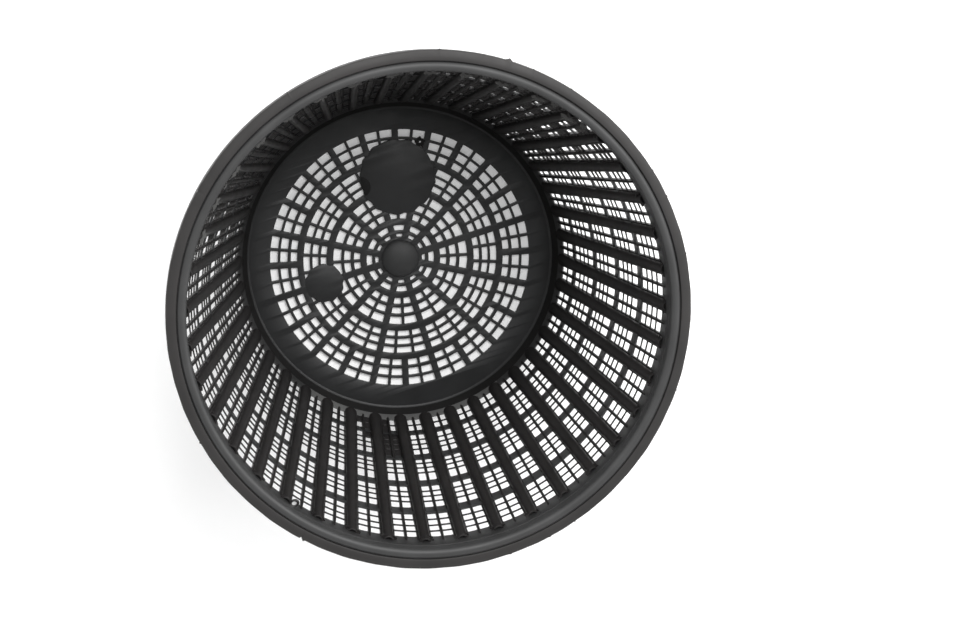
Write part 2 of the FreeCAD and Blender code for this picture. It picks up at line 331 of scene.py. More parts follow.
def wall_radius(height):
    """Inside of the leaning mesh at a height."""
    return WALL_FOOT_RADIUS + WALL_LEAN * (height - WALL_FOOT_HEIGHT)


def tapered(foot, top, height):
    """A width that changes evenly from the foot of the ribs to their heads."""
    return foot + (top - foot) * (height - RIB_FOOT) / (RIB_TOP - RIB_FOOT)


def far_depth(angle):
    """Extra depth of the mesh at an angle."""
    return float(np.interp(math.degrees(angle) % 360, FAR_ANGLES, FAR_DEPTHS))


def strip_half(height, angle):
    """Half the width of the strip behind a rib."""
    return tapered(STRIP_FOOT_WIDTH, STRIP_TOP_WIDTH, height) / 2 + FAR_WIDTH_SHARE * far_depth(angle)


def panel_bar_half(angle):
    """Half the width of an upright bar."""
    return (PANEL_BAR_WIDTH + FAR_WIDTH_SHARE * far_depth(angle)) / 2


def within_collar(depth, height):
    """A depth of the mesh, cut back to the outside of the collar where the collar runs over it."""
    if height <= FULL_MESH_TO:
        return depth
    return min(depth, COLLAR_RADIUS + HOOP_THICKNESS - COLLAR_COVER - wall_radius(height))


def wavy(angle, size, phase):
    """Slight waviness of a moulded edge."""
    return size * (math.sin(WAVES[0] * angle + phase) + math.sin(WAVES[1] * angle + WAVE_SHIFT * phase)) / 2


def polar(radius, angle, height):
    """A point from its distance from the axis, angle and height."""
    return (radius * math.cos(angle), radius * math.sin(angle), height)


def arc(centre, radius, start, end, steps):
    """Points of an arc in a section, angles in degrees."""
    points = []
    for step in range(steps + 1):
        angle = math.radians(start + (end - start) * step / steps)
        points.append((centre[0] + radius * math.cos(angle), centre[1] + radius * math.sin(angle)))
    return points


class Shape:
    """Vertices in millimetres, faces and material numbers of one piece, gathered part by part."""

    def __init__(self):
        self.points = []
        self.faces = []
        self.tags = []

    def add(self, points, faces, tag=0):
        first = len(self.points)
        self.points.extend(points)
        self.faces.extend(tuple(first + index for index in face) for face in faces)
        self.tags.extend([tag] * len(faces))


def ring_faces(sections, count, closed_path):
    """Quads between successive rings of count points."""
    faces = []
    last = sections if closed_path else sections - 1
    for section in range(last):
        following = (section + 1) % sections
        for index in range(count):
            beside = (index + 1) % count
            faces.append((section * count + index, section * count + beside,
                          following * count + beside, following * count + index))
    return faces


def turned(profile, segments):
    """A closed section of (radius, height) points, turned round the axis."""
    points = [polar(radius, TURN * step / segments, height)
              for step in range(segments) for radius, height in profile]
    return points, ring_faces(segments, len(profile), True)


def swept(profile_at, stations):
    """A closed ring whose section can change from station to station."""
    sections = [profile_at(angle, share) for angle, share in stations]
    points = [polar(radius, angle, height)
              for (angle, share), section in zip(stations, sections) for radius, height in section]
    return points, ring_faces(len(sections), len(sections[0]), True)


def lofted(rings):
    """A closed solid through rings of points, with flat ends."""
    count = len(rings[0])
    points = [point for ring in rings for point in ring]
    faces = ring_faces(len(rings), count, False)
    faces.append(tuple(reversed(range(count))))
    faces.append(tuple((len(rings) - 1) * count + index for index in range(count)))
    return points, faces


def clean_mesh(mesh, merge_distance):
    """Merge doubled vertices, drop loose ones and turn the faces outwards."""
    work = bmesh.new()
    work.from_mesh(mesh)
    bmesh.ops.remove_doubles(work, verts=work.verts, dist=merge_distance * MM)
    loose = [vert for vert in work.verts if not vert.link_faces]
    bmesh.ops.delete(work, geom=loose, context="VERTS")
    bmesh.ops.recalc_face_normals(work, faces=work.faces)
    work.to_mesh(mesh)
    work.free()


def add_piece(name, mesh, sharp_from=SHARP_FROM):
    """Put a finished mesh in the scene: it rides on the body and stands for the CAD basket."""
    mesh.polygons.foreach_set("use_smooth", [True] * len(mesh.polygons))
    mesh.set_sharp_from_angle(angle=math.radians(sharp_from))
    piece = bpy.data.objects.new(name, mesh)
    bpy.context.scene.collection.objects.link(piece)
    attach(piece, "root")
    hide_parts("basket")


def make_piece(name, shape, materials, sharp_from=SHARP_FROM):
    """A piece from a shape, with the materials that its tags count."""
    mesh = bpy.data.meshes.new(name)
    mesh.from_pydata([tuple(value * MM for value in point) for point in shape.points], [], shape.faces)
    for material in materials:
        mesh.materials.append(material)
    mesh.polygons.foreach_set("material_index", shape.tags)
    clean_mesh(mesh, PIECE_MERGE)
    add_piece(name, mesh, sharp_from)


def make_plate(name, outlines, low, high, material, edge=0.2):
    """A flat plate with rounded edges from closed outlines: the first is its edge and the rest are holes."""
    curve = bpy.data.curves.new(name, "CURVE")
    curve.dimensions = "2D"
    curve.fill_mode = "BOTH"
    curve.extrude = ((high - low) / 2 - edge) * MM
    curve.bevel_depth = edge * MM
    curve.bevel_resolution = 1
    curve.offset = -edge * MM
    for outline in outlines:
        spline = curve.splines.new("POLY")
        spline.points.add(len(outline) - 1)
        for point, (across, along) in zip(spline.points, outline):
            point.co = (across * MM, along * MM, 0.0, 1.0)
        spline.use_cyclic_u = True
    flat = bpy.data.objects.new(name, curve)
    bpy.context.scene.collection.objects.link(flat)
    bpy.context.view_layer.update()
    mesh = bpy.data.meshes.new_from_object(flat.evaluated_get(bpy.context.evaluated_depsgraph_get()))
    bpy.data.objects.remove(flat)
    clean_mesh(mesh, PLATE_MERGE)
    mesh.transform(Matrix.Translation((0, 0, (low + high) / 2 * MM)))
    mesh.materials.clear()
    mesh.materials.append(material)
    add_piece(name, mesh)


def make_plastic(name, colour, roughness, specular=0.4):
    """Moulded plastic: slight mottling, worn sheen and a fine moulded grain."""
    material = bpy.data.materials.new(name)
    material.use_nodes = True
    nodes = material.node_tree.nodes
    links = material.node_tree.links
    shader = nodes["Principled BSDF"]
    shader.inputs["Specular IOR Level"].default_value = specular
    place = nodes.new("ShaderNodeTexCoord")

    def noise(scale, detail):
        node = nodes.new("ShaderNodeTexNoise")
        node.inputs["Scale"].default_value = scale
        node.inputs["Detail"].default_value = detail
        links.new(place.outputs["Object"], node.inputs["Vector"])
        return node

    mottle = noise(*MOTTLE_NOISE)
    ramp = nodes.new("ShaderNodeValToRGB")
    for element, (position, share) in zip(ramp.color_ramp.elements, MOTTLE_STOPS):
        element.position = position
        element.color = (*[value * share for value in colour], 1)
    links.new(mottle.outputs["Fac"], ramp.inputs["Fac"])
    links.new(ramp.outputs["Color"], shader.inputs["Base Color"])

    sheen = noise(*SHEEN_NOISE)
    spread = nodes.new("ShaderNodeMapRange")
    spread.inputs["To Min"].default_value = roughness + ROUGHNESS_SPREAD[0]
    spread.inputs["To Max"].default_value = roughness + ROUGHNESS_SPREAD[1]
    links.new(sheen.outputs["Fac"], spread.inputs["Value"])
    links.new(spread.outputs["Result"], shader.inputs["Roughness"])

    grain = noise(*GRAIN_NOISE)
    flow = noise(*FLOW_NOISE)
    mix = nodes.new("ShaderNodeMath")
    mix.operation = "MULTIPLY_ADD"
    mix.inputs[1].default_value = GRAIN_SHARE
    links.new(grain.outputs["Fac"], mix.inputs[0])
    links.new(flow.outputs["Fac"], mix.inputs[2])
    bump = nodes.new("ShaderNodeBump")
    bump.inputs["Strength"].default_value = RELIEF_STRENGTH
    bump.inputs["Distance"].default_value = RELIEF_HEIGHT * MM
    links.new(mix.outputs["Value"], bump.inputs["Height"])
    links.new(bump.outputs["Normal"], shader.inputs["Normal"])
    return material


def panel_stations(radius, height):
    """Angles round the wall, each with the share of a fillet that it has beside a strip or an upright bar."""
    middle = PITCH * radius / 2
    stations = []
    for number in range(RIB_COUNT):
        strip = strip_half(height, number * PITCH)
        bar = panel_bar_half((number + 0.5) * PITCH)
        half = [(strip + distance, share) for distance, share in FILLET]
        half += [((strip + middle) / 2, 0.0)]
        half += [(middle - bar - distance, share * UPRIGHT_BAR_SHARE) for distance, share in reversed(FILLET)]
        mirrored = [(2 * middle - distance, share) for distance, share in reversed(half)]
        for distance, share in [(0.0, 1.0)] + half + [(middle, UPRIGHT_BAR_SHARE)] + mirrored:
            stations.append((number * PITCH + distance / radius, share))
    return stations


def make_hoops(material):
    """Upright hoops with crisp edges, flaring where they meet the strips and bars."""
    shape = Shape()
    for phase, (inner, low, high) in enumerate(HOOPS):
        outer = inner + HOOP_THICKNESS

        def section(angle, share):
            foot = low - FLARE_DOWN * share + wavy(angle, EDGE_WAVE, phase)
            top = high + FLARE_UP * share + wavy(angle, EDGE_WAVE, phase + 3)
            return [(inner, foot + 0.2), (inner, top - 0.12), (inner + 0.12, top),
                    (outer - 0.3, top - 0.15), (outer, top - 0.45), (outer, foot + 0.4),
                    (outer - 0.3, foot), (inner + 0.2, foot)]

        shape.add(*swept(section, panel_stations(inner, (low + high) / 2)))
    make_piece("wall_hoops", shape, [material])


def make_wall_bars(material):
    """Thin hoops that divide the openings into rows of holes, filleted into the uprights."""
    shape = Shape()
    for phase, height in enumerate(BAR_HEIGHTS):
        inner = wall_radius(height) - BAR_PROUD

        def section(angle, share):
            far = far_depth(angle)
            outer = inner + BAR_DEPTH + far
            half = BAR_THICKNESS / 2 + (BAR_FILLET + BAR_FILLET_FAR_SHARE * far) * share
            level = height + wavy(angle, BAR_WAVE, phase)
            return [(inner, level - half * 0.5), (inner + 0.2, level - half), (outer, level - half),
                    (outer, level + half), (inner + 0.2, level + half), (inner, level + half * 0.5)]

        shape.add(*swept(section, panel_stations(inner, height)))
    make_piece("wall_bars", shape, [material])


def wall_section(angle, height, outline):
    """Points of an outline of (sideways, inward) pairs, set on the wall at an angle and height."""
    radius = wall_radius(height)
    return [(math.cos(angle) * (radius - inward) - math.sin(angle) * sideways,
             math.sin(angle) * (radius - inward) + math.cos(angle) * sideways, height)
            for sideways, inward in outline]


def half_round(width, rise, root, steps):
    """Closed outline of a half-round rib with its root in the wall."""
    points = [(-width / 2, -root)]
    for step in range(steps + 1):
        angle = math.pi * (1 - step / steps)
        points.append((width / 2 * math.cos(angle), rise * math.sin(angle)))
    points.append((width / 2, -root))
    return points


def make_strips(material):
    """Flat strips of the wall behind the ribs."""
    shape = Shape()
    heights = [STRIP_FOOT + (COLLAR_FOOT - STRIP_FOOT) * step / STRIP_STEPS for step in range(STRIP_STEPS + 1)]
    heights += [FULL_MESH_TO, CUT_MESH_FROM, STRIP_TOP]
    front = FRONT_BEVEL
    back = BACK_BEVEL
    for number in range(RIB_COUNT):
        angle = rib_angle(number)
        rings = []
        for height in heights:
            depth = within_collar(STRIP_DEPTH + far_depth(angle), height)
            half = strip_half(height, angle) + uneven(STRIP_UNEVENNESS)
            outline = [(-half, -front), (-half + front, 0.0), (half - front, 0.0), (half, -front),
                       (half, back - depth), (half - back, -depth), (back - half, -depth), (-half, back - depth)]
            rings.append(wall_section(angle, height, outline))
        shape.add(*lofted(rings))
    make_piece("wall_strips", shape, [material])


def make_ribs(material):
    """The forty half-round ribs, with blunt upper ends and feet that run into the ledge."""
    shape = Shape()
    for number in range(RIB_COUNT):
        angle = rib_angle(number)
        top = RIB_TOP + uneven(RIB_TOP_UNEVENNESS)
        head = top - RIB_HEAD_LENGTH
        slim = 1 - FAR_SLIM_SHARE * far_depth(angle)
        rings = []
        for step in range(RIB_STEPS + 1):
            height = RIB_FOOT + (head - RIB_FOOT) * step / RIB_STEPS
            width = slim * tapered(RIB_FOOT_WIDTH, RIB_TOP_WIDTH, height) + uneven(RIB_WIDTH_UNEVENNESS)
            share = min(1.0, RIB_FOOT_SHARE + RIB_SHARE_GAIN * (height - RIB_FOOT) / RIB_GAIN_HEIGHT)
            outline = half_round(width, RIB_RISE * share, within_collar(RIB_ROOT, height), RIB_FACETS)
            rings.append(wall_section(angle, height, outline))
        root = within_collar(RIB_ROOT, top)
        for lift, share in RIB_HEAD:
            outline = half_round(slim * RIB_TOP_WIDTH * share, RIB_RISE * share, root, RIB_FACETS)
            rings.append(wall_section(angle, head + lift, outline))
        shape.add(*lofted(rings))
    make_piece("wall_ribs", shape, [material])


def make_panel_bars(material):
    """The thin upright bar in the middle of each panel, with a pointed foot and head."""
    shape = Shape()
    for number in range(RIB_COUNT):
        angle = rib_angle(number + 0.5)
        rings = []
        for height, share in PANEL_BAR_STATIONS:
            root = within_collar(PANEL_BAR_ROOT + far_depth(angle), height)
            root *= min(1.0, PANEL_BAR_ROOT_SHARE * share)
            width = 2 * panel_bar_half(angle) * share
            outline = half_round(width, PANEL_BAR_RISE * share, root, PANEL_BAR_FACETS)
            rings.append(wall_section(angle, height, outline))
        shape.add(*lofted(rings))
    make_piece("panel_bars", shape, [material])


def lip_edge(angle):
    """Offset of the lip's outer edge at an angle: slight waves, flash and nicks."""
    degrees = math.degrees(angle) % 360
    offset = wavy(angle, EDGE_WAVE, 9)
    for place, half_width, height in LIP_MARKS:
        offset += height * max(0.0, 1 - abs(degrees - place) / half_width)
    return offset


def rim_stations():
    """Stations of the rim: those of the wall, and close ones at the marks on the lip."""
    marks = [math.radians(place + half_width * side) for place, half_width, height in LIP_MARKS
             for side in MARK_STATIONS]
    return sorted(panel_stations(COLLAR_RADIUS, COLLAR_FOOT) + [(angle % TURN, 0.0) for angle in marks])


def rim_profile(share=0.0, angle=0.0):
    """Section of the collar and rim: collar, bead, groove, lip and turned-down skirt."""
    top = BASKET_HEIGHT
    bead_outer = BEAD_BORE + BEAD_WIDTH
    collar_outer = COLLAR_RADIUS + HOOP_THICKNESS
    skirt_inner = RIM_RADIUS - LIP_THICKNESS
    underside = LIP_EDGE - LIP_THICKNESS
    foot = COLLAR_FOOT - FLARE_DOWN * share + wavy(angle, EDGE_WAVE, 5)
    profile = [(collar_outer, foot + 0.3), (collar_outer - 0.3, foot), (COLLAR_RADIUS + 0.2, foot),
               (COLLAR_RADIUS, foot + 0.2), (COLLAR_RADIUS, COLLAR_TOP - 0.2),
               (COLLAR_RADIUS + 0.7, COLLAR_TOP), (COLLAR_RADIUS + 0.7, COLLAR_TOP + 0.5),
               (BEAD_BORE + 0.2, COLLAR_TOP + 0.8), (BEAD_BORE, COLLAR_TOP + 2.5)]
    profile += arc((BEAD_BORE + BEAD_ROUND, top - BEAD_ROUND), BEAD_ROUND, 180, 90, 8)
    profile += arc((bead_outer - BEAD_ROUND, top - BEAD_ROUND), BEAD_ROUND, 90, 12, 8)
    profile += [(bead_outer + 0.1, top - GROOVE_DROPS[0]), (LIP_INNER - 0.15, top - GROOVE_DROPS[1])]
    profile += arc((LIP_INNER + LIP_INNER_ROUND, top - LIP_INNER_DROP), LIP_INNER_ROUND, 180, 90, 4)
    profile += [((LIP_INNER + RIM_RADIUS) / 2, top - LIP_MIDDLE_DROP)]
    profile += arc((RIM_RADIUS + lip_edge(angle) - LIP_ROUND, LIP_EDGE - LIP_ROUND), LIP_ROUND, 80, 0, 6)
    profile += arc((RIM_RADIUS - SKIRT_OUTER_ROUND, SKIRT_FOOT + SKIRT_OUTER_ROUND),
                   SKIRT_OUTER_ROUND, 0, -90, 3)
    profile += arc((skirt_inner + SKIRT_INNER_ROUND, SKIRT_FOOT + SKIRT_INNER_ROUND),
                   SKIRT_INNER_ROUND, 270, 180, 3)
    profile += [(skirt_inner, underside), (collar_outer + 0.6, underside), (collar_outer, underside - 0.8)]
    return profile


def make_rim(bead_material, lip_material, collar_material):
    """Collar and rim of the basket, in three materials."""
    shape = Shape()
    shape.add(*swept(lambda angle, share: rim_profile(share, angle), rim_stations()))
    profile = rim_profile()
    # The bead material stands in for the bead's broad sheen (painted sheen), and the collar material for the light
    # that falls on the collar (painted light)
    lip, collar = 1, 2
    for number in range(len(shape.faces)):
        radius, height = profile[number % len(profile)]
        if height < COLLAR_TOP and radius < LIP_INNER:
            shape.tags[number] = collar
        elif radius > LIP_INNER - 0.2:
            shape.tags[number] = lip
    make_piece("rim", shape, [bead_material, lip_material, collar_material], sharp_from=50.0)


def make_flakes(material):
    """Torn flash at the heads of the ribs: short thin flakes that stick up and sideways."""
    shape = Shape()
    for number in range(RIB_COUNT):
        angle = rib_angle(number)
        for side in [-1] * FLAKES_A_SIDE + [1] * FLAKES_A_SIDE:
            start = side * rng.uniform(*FLAKE_START)
            reach = side * rng.uniform(*FLAKE_REACH)
            base = RIB_TOP - rng.uniform(*FLAKE_DROP)
            rise = rng.uniform(*FLAKE_RISE)
            inward = rng.uniform(*FLAKE_INWARD)
            back = inward - rng.uniform(*FLAKE_THICKNESS)
            rings = []
            for height, edge, width in ((base, start, FLAKE_WIDTHS[0]),
                                        (base + rise, start + reach, FLAKE_WIDTHS[1])):
                far_edge = edge - side * width
                outline = [(edge, inward), (edge, back), (far_edge, back), (far_edge, inward)]
                rings.append(wall_section(angle, height, outline))
            shape.add(*lofted(rings))
    make_piece("rib_flakes", shape, [material])


def make_torn_heads(material):
    """Pale torn crests on the heads of the far ribs and upright bars, and thin pale ridges that run down from
    them. The pale is partly whitened torn plastic and partly painted highlight on the crests, and painted
    highlight along the ridges.
    """
    shape = Shape()
    for number in range(2 * RIB_COUNT):
        angle = rib_angle(number / 2)
        if not TORN_SIDE[0] < math.degrees(angle) < TORN_SIDE[1]:
            continue
        size, crest, spread = TORN_RIB if number % 2 == 0 else TORN_BAR
        top = RIB_TOP - TORN_DROP + uneven(TORN_DROP_UNEVENNESS)
        outline = [(size * (sideways + uneven(TORN_UNEVENNESS[0])), crest + above + uneven(TORN_UNEVENNESS[1]))
                   for sideways, above in TORN_OUTLINE]
        shape.add(*lofted([wall_section(angle, top - TORN_LENGTH, outline), wall_section(angle, top, outline)]))
        across = size * uneven(RIDGE_PLACE)
        length = size * rng.uniform(*RIDGE_LENGTHS)
        low, high = (level * crest for level in RIDGE_LEVELS)
        rings = []
        for step in range(RIDGE_STEPS + 1):
            height = top - RIDGE_DROP - length * step / RIDGE_STEPS
            half = spread * (1 - RIDGE_NARROWING * step / RIDGE_STEPS)
            outline = [(across - half, low), (across - half, high), (across, crest + RIDGE_RISE),
                       (across + half, high), (across + half, low)]
            across += uneven(RIDGE_WANDER)
            rings.append(wall_section(angle, height, outline))
        shape.add(*lofted(rings))
    make_piece("torn_heads", shape, [material])


def make_curl(material, pale_material):
    """A curled shaving of flash at the head of one rib, with a pale spot in it that is a painted highlight."""
    place, radius, height = CURL
    centre = polar(radius, math.radians(place), height)

    def oval(size, angle, lift):
        return (centre[0] + size * math.cos(angle), centre[1] + CURL_FLATNESS * size * math.sin(angle),
                centre[2] + lift)

    steps, corners = CURL_STEPS
    points = []
    for step in range(steps):
        for corner in range(corners):
            around = TURN * corner / corners
            reach = CURL_RADIUS + CURL_BAND[0] * math.cos(around)
            points.append(oval(reach, TURN * step / steps, CURL_BAND[1] * math.sin(around)))
    shape = Shape()
    shape.add(points, ring_faces(steps, corners, True))
    spot = [[oval(size, TURN * step / CURL_SPOT_STEPS, lift) for step in range(CURL_SPOT_STEPS)]
            for size, lift in CURL_SPOT]
    shape.add(*lofted(spot), 1)
    make_piece("flash_curl", shape, [material, pale_material])


def make_shadow_sheets(material):
    """Thin dark sheets that close some of the lowest holes: painted shadow in place of the shade seen through
    them.
    """
    shape = Shape()
    front, back = SHADOW_SHEET_DEPTHS
    for panel, side, low, high in SHADOW_SHEETS:
        angle = (panel + 0.5 + 0.25 * side) * PITCH
        rings = []
        for step in range(SHADOW_SHEET_STEPS + 1):
            height = low + (high - low) * step / SHADOW_SHEET_STEPS
            half = (PITCH * wall_radius(height) / 2 - SHADOW_SHEET_MARGIN) / 2
            outline = [(-half, -front), (half, -front), (half, -back), (-half, -back)]
            rings.append(wall_section(angle, height, outline))
        shape.add(*lofted(rings))
    make_piece("wall_shadow_sheets", shape, [material])


def make_step(material, ledge_material, riser_material, pale_material):
    """Bevelled foot outside, and the ledge and riser inside, between the wall and the floor."""
    outside = WALL_FOOT_RADIUS + HOOP_THICKNESS
    profile = [(FOOT_RADIUS - 2.0, 0.0), (FOOT_RADIUS - 0.4, 0.0), (FOOT_RADIUS, 0.25),
               (outside - 0.2, FOOT_RISE), (outside, WALL_FOOT_HEIGHT - 0.6),
               (outside - 0.3, WALL_FOOT_HEIGHT + 0.1), (WALL_FOOT_RADIUS + 0.35, WALL_FOOT_HEIGHT + 0.5),
               (WALL_FOOT_RADIUS, WALL_FOOT_HEIGHT + 0.2), (LEDGE_RADIUS + 0.05, LEDGE_HEIGHT + 0.05),
               (LEDGE_RADIUS - 0.05, LEDGE_HEIGHT - 0.1), (FLOOR_RADIUS + 0.7, FLOOR_THICKNESS + 0.85),
               (FLOOR_RADIUS + 0.25, FLOOR_THICKNESS + 0.3), (FLOOR_RADIUS - 0.5, FLOOR_THICKNESS + 0.05),
               (FLOOR_RADIUS - 0.9, FLOOR_THICKNESS - 0.4)]
    shape = Shape()
    shape.add(*turned(profile, STEP_SEGMENTS))
    # The ledge takes the ledge material, lighter plastic that stands in for light on it (painted light), and the
    # pale material, a painted highlight, between the PALE_LEDGE angles. The riser and the foot's outer face take
    # the riser material, the darkest plastic, as painted shade
    ledge, riser, pale = 1, 2, 3
    for number in range(len(shape.faces)):
        degree, corner = divmod(number, len(profile))
        radius, height = profile[corner]
        if height > LEDGE_HEIGHT and radius < outside - 0.1:
            shape.tags[number] = pale if PALE_LEDGE[0] < degree < PALE_LEDGE[1] else ledge
        elif height < LEDGE_HEIGHT and radius > FLOOR_RADIUS + 3:
            shape.tags[number] = riser
    make_piece("floor_step", shape, [material, ledge_material, riser_material, pale_material])


def round_corners(points, which):
    """Cut the named corners of a closed outline with a small arc of three points."""
    made = []
    for index, point in enumerate(points):
        if index not in which:
            made.append(point)
            continue
        before = np.array(points[index - 1])
        after = np.array(points[(index + 1) % len(points)])
        here = np.array(point)
        size = HOLE_CORNER * rng.uniform(*HOLE_CORNER_RANGE)
        back = here + (before - here) / np.linalg.norm(before - here) * size
        forth = here + (after - here) / np.linalg.norm(after - here) * size
        middle = (back + forth) / 2 * (1 - HOLE_CORNER_SHARPNESS) + here * HOLE_CORNER_SHARPNESS
        made.extend((tuple(back), tuple(middle), tuple(forth)))
    return made


def hole_outline(inner, outer, start, end, start_bar, end_bar):
    """Rounded outline of a floor hole: bars of even width run beside it at angles start and end."""
    def edge(radius, forwards):
        low = start + math.asin(start_bar / radius)
        high = end - math.asin(end_bar / radius)
        first, last = (low, high) if forwards else (high, low)
        angles = [first + (last - first) * (step / HOLE_STEPS) for step in range(HOLE_STEPS + 1)]
        return [(radius * math.cos(angle), radius * math.sin(angle)) for angle in angles]

    corners = (0, HOLE_STEPS, HOLE_STEPS + 1, 2 * HOLE_STEPS + 1)
    return round_corners(edge(outer, True) + edge(inner, False), corners)


def floor_holes():
    """Outlines of all the holes of the floor."""
    holes = []

    def add_sector(rows, base, spokes):
        bars = [WIDE_SPOKE / 2] + [THIN_SPOKE / 2] * (len(spokes) - 2) + [WIDE_SPOKE / 2]
        angles = [math.radians(base + spoke) for spoke in spokes]
        for number in range(len(spokes) - 1):
            for inner, outer in rows:
                nudge = uneven(ROW_UNEVENNESS)
                holes.append(hole_outline(inner + nudge, outer + nudge, angles[number], angles[number + 1],
                                          bars[number], bars[number + 1]))

    for base in range(0, 360, 15):
        add_sector(OUTER_ROWS, base, OUTER_SPOKES)
    for base in range(0, 360, 30):
        add_sector(MIDDLE_ROWS, base, MIDDLE_SPOKES)
        add_sector(INNER_ROWS, base, INNER_SPOKES)
        add_sector(CORE_ROWS, base, CORE_SPOKES)
    return holes


def circle(centre_x, centre_y, radius, count, lobes=0, depth=0.0):
    """Closed round outline, with uneven shallow lobes where asked."""
    outline = []
    for step in range(count):
        angle = TURN * step / count
        here = radius + depth * (0.7 * math.cos(lobes * angle) + 0.4 * math.cos((lobes + 5) * angle + 1.3))
        outline.append((centre_x + here * math.cos(angle), centre_y + here * math.sin(angle)))
    return outline


def lens(first, second, count=96):
    """Outline of the part that two circles share, each given as its middle and radius."""
    def inside(point, disc):
        return math.hypot(point[0] - disc[0], point[1] - disc[1]) <= disc[2] - 0.01

    points = [point for point in circle(*first, count) if inside(point, second)]
    points += [point for point in circle(*second, count) if inside(point, first)]
    middle = [sum(point[axis] for point in points) / len(points) for axis in (0, 1)]
    return sorted(points, key=lambda point: math.atan2(point[1] - middle[1], point[0] - middle[0]))


def make_floor(material, dark_material):
    """Open floor with its two plain discs, a dark patch of painted shade in the hollow of the large one's edge,
    and a torn lump beside it.
    """
    outlines = [circle(0, 0, FLOOR_RADIUS - 0.2, 360)] + floor_holes()
    make_plate("floor_mesh", outlines, 0.0, FLOOR_THICKNESS, material)
    across, along, radius = LARGE_DISC
    top = FLOOR_THICKNESS + LARGE_DISC_RISE
    outline = circle(across, along, radius, 240, lobes=13, depth=0.55)
    make_plate("large_disc", [outline], DISC_FOOT, top, material, edge=0.35)
    # Painted shade: a dark plate, rising just above the large disc, stands in for the shade in its hollow
    outline = lens((across, along, radius - HOLLOW_SHADE_MARGIN), HOLLOW_SHADE)
    make_plate("disc_hollow_shade", [outline], top - HOLLOW_SHADE_LEVELS[0], top + HOLLOW_SHADE_LEVELS[1], dark_material, edge=0.04)
    across, along, radius = SMALL_DISC
    top = FLOOR_THICKNESS + SMALL_DISC_RISE
    outline = circle(across, along, radius, 144, lobes=9, depth=0.4)
    make_plate("small_disc", [outline], DISC_FOOT, top, material)
    across, along, radius = TORN_LUMP
    top = FLOOR_THICKNESS + LUMP_RISE
    outlines = [circle(across, along, radius, 60, lobes=5, depth=0.6),
                circle(across + LUMP_HOLE[0], along, LUMP_HOLE[1], 12)]
    make_plate("torn_lump", outlines, LUMP_FOOT, top, dark_material, edge=0.15)


def make_hub(material):
    """Domed hub in the middle of the floor."""
    def level_ring(radius, height):
        return [polar(radius, TURN * step / HUB_SEGMENTS, height) for step in range(HUB_SEGMENTS)]

    rings = [level_ring(HUB_RADIUS, HUB_FOOT)]
    for step in range(HUB_STEPS):
        angle = math.pi / 2 * step / HUB_STEPS
        rings.append(level_ring(HUB_RADIUS * math.cos(angle), FLOOR_THICKNESS + HUB_RISE * math.sin(angle)))
    rings.append(level_ring(HUB_TOP_RADIUS, FLOOR_THICKNESS + HUB_RISE))
    shape = Shape()
    shape.add(*lofted(rings))
    make_piece("floor_hub", shape, [material], sharp_from=50.0)


def make_camera():
    """Camera with the photograph's place, direction and field of view."""
    to_camera = Matrix.Rotation(FIT_TILT.length, 3, FIT_TILT.normalized())
    to_object = Matrix.Rotation(-FRAME_TURN, 3, "Z")
    camera_axes = to_object @ to_camera.transposed()
    centre = camera_axes @ -FIT_OFFSET * FIT_UNIT
    centre.z += FIT_ORIGIN_HEIGHT
    width, height = PHOTO_SIZE
    data = bpy.data.cameras.new("photo_camera")
    data.sensor_fit = "HORIZONTAL"
    data.sensor_width = SENSOR_WIDTH_MM
    data.lens = FIT_FOCAL_PIXELS * data.sensor_width / width
    data.shift_x = (width / 2 - PRINCIPAL_POINT[0]) / width
    data.shift_y = (PRINCIPAL_POINT[1] - height / 2) / width
    data.clip_end = CLIP_END_M
    camera = bpy.data.objects.new("photo_camera", data)
    camera.matrix_world = Matrix.Translation(centre) @ camera_axes.to_4x4()
    bpy.context.scene.collection.objects.link(camera)
    bpy.context.scene.camera = camera


def make_lamp(name, direction, size, power):
    """Square soft lamp that points at the basket from a direction of (right, up, height) in the picture."""
    place = Matrix.Rotation(-FRAME_TURN, 3, "Z") @ Vector(direction)
    data = bpy.data.lights.new(name, "AREA")
    data.shape = "SQUARE"
    data.size = size
    data.energy = power
    lamp = bpy.data.objects.new(name, data)
    lamp.location = place
    aim = Vector(LAMP_AIM) - place
    lamp.rotation_mode = "QUATERNION"
    lamp.rotation_quaternion = aim.to_track_quat("-Z", "Y")
    bpy.context.scene.collection.objects.link(lamp)


def make_sky():
    """Even white sky, brighter near the horizon than overhead."""
    world = bpy.data.worlds.new("sky")
    bpy.context.scene.world = world
    world.use_nodes = True
    nodes = world.node_tree.nodes
    links = world.node_tree.links
    place = nodes.new("ShaderNodeTexCoord")
    split = nodes.new("ShaderNodeSeparateXYZ")
    links.new(place.outputs["Generated"], split.inputs["Vector"])
    fade = nodes.new("ShaderNodeMapRange")
    fade.interpolation_type = "SMOOTHSTEP"
    fade.inputs["From Min"].default_value, fade.inputs["From Max"].default_value = SKY_FADE
    fade.inputs["To Min"].default_value, fade.inputs["To Max"].default_value = SKY_STRENGTHS
    links.new(split.outputs["Z"], fade.inputs["Value"])
    links.new(fade.outputs["Result"], nodes["Background"].inputs["Strength"])
    nodes["Background"].inputs["Color"].default_value = (1, 1, 1, 1)


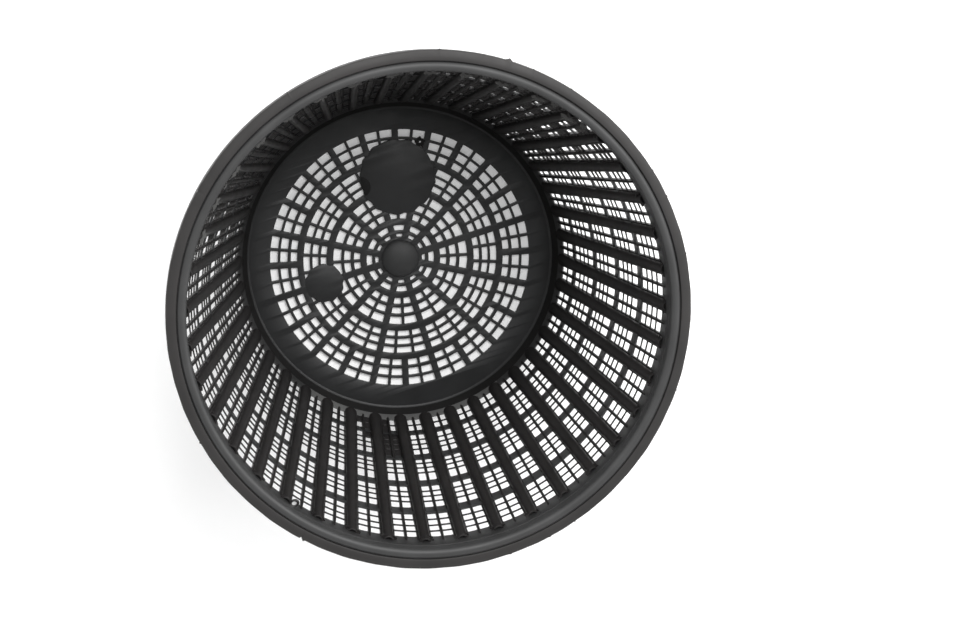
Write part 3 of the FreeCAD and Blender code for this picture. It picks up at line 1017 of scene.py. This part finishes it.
def make_ground():
    """Plain pale floor. Seen directly or in gloss, it is a little brighter than the light makes it."""
    half = GROUND_HALF
    mesh = bpy.data.meshes.new("floor")
    mesh.from_pydata([(-half, -half, 0), (half, -half, 0), (half, half, 0), (-half, half, 0)], [], [(0, 1, 2, 3)])
    floor = bpy.data.objects.new("floor", mesh)
    bpy.context.scene.collection.objects.link(floor)
    material = bpy.data.materials.new("pale_floor")
    material.use_nodes = True
    nodes = material.node_tree.nodes
    links = material.node_tree.links
    shader = nodes["Principled BSDF"]
    shader.inputs["Base Color"].default_value = GROUND_COLOUR
    shader.inputs["Roughness"].default_value = GROUND_ROUGHNESS
    shader.inputs["Specular IOR Level"].default_value = GROUND_SPECULAR
    glow = nodes.new("ShaderNodeEmission")
    glow.inputs["Strength"].default_value = GROUND_GLOW
    path = nodes.new("ShaderNodeLightPath")
    seen = nodes.new("ShaderNodeMath")
    seen.operation = "MAXIMUM"
    through = nodes.new("ShaderNodeMath")
    through.operation = "MAXIMUM"
    links.new(path.outputs["Is Camera Ray"], seen.inputs[0])
    links.new(through.outputs["Value"], seen.inputs[1])
    links.new(path.outputs["Is Glossy Ray"], through.inputs[0])
    links.new(path.outputs["Is Transmission Ray"], through.inputs[1])
    dark = nodes.new("ShaderNodeEmission")
    dark.inputs["Strength"].default_value = 0.0
    lift = nodes.new("ShaderNodeMixShader")
    links.new(seen.outputs["Value"], lift.inputs["Fac"])
    links.new(dark.outputs["Emission"], lift.inputs[1])
    links.new(glow.outputs["Emission"], lift.inputs[2])
    total = nodes.new("ShaderNodeAddShader")
    links.new(shader.outputs["BSDF"], total.inputs[0])
    links.new(lift.outputs["Shader"], total.inputs[1])
    links.new(total.outputs["Shader"], nodes["Material Output"].inputs["Surface"])
    mesh.materials.append(material)


def main():
    bpy.context.scene.view_settings.view_transform = "Standard"
    make_camera()
    make_ground()
    make_sky()
    make_lamp("key", *KEY_LAMP)
    make_lamp("fill", *FILL_LAMP)
    cool = make_plastic("black_plastic", (0.0180, 0.0183, 0.0188), 0.42)
    warm = make_plastic("warm_black_plastic", (0.0158, 0.0145, 0.0141), 0.56)
    dark = make_plastic("dark_black_plastic", (0.0113, 0.0102, 0.0100), 0.45)
    # Darkest plastic: painted shade on the riser, the foot's outer face and the patch in the disc's hollow; the
    # torn lump takes it too
    deep = make_plastic("deep_black_plastic", (0.0080, 0.0077, 0.0075), 0.58, 0.2)
    # Lighter plastic on the bead and the hub stands in for their broad sheen (painted sheen)
    soft = make_plastic("soft_black_plastic", (0.0290, 0.0292, 0.0294), 0.52)
    # Lighter plastic on the collar and the ledge stands in for the light that falls on them (painted light)
    lit_plastic = make_plastic("lit_black_plastic", (0.0215, 0.0215, 0.0215), 0.5)
    # Paler plastic on the near stretch of the ledge: a painted highlight
    pale = make_plastic("pale_black_plastic", (0.0700, 0.0700, 0.0690), 0.5)
    # Pale plastic of the torn crests and the ridges below them: partly whitened torn plastic, partly painted
    # highlight
    torn = make_plastic("torn_and_highlit_black_plastic", (0.0720, 0.0715, 0.0700), 0.55)
    # The curl's pale spot: a painted highlight
    white = make_plastic("curl_highlight_white", (0.5000, 0.5000, 0.5000), 0.6)
    make_hoops(cool)
    make_strips(dark)
    make_ribs(dark)
    make_wall_bars(dark)
    make_panel_bars(dark)
    make_rim(soft, warm, lit_plastic)
    make_flakes(dark)
    make_torn_heads(torn)
    make_curl(dark, white)
    make_shadow_sheets(dark)
    make_step(cool, lit_plastic, deep, pale)
    make_floor(cool, deep)
    make_hub(soft)


main()
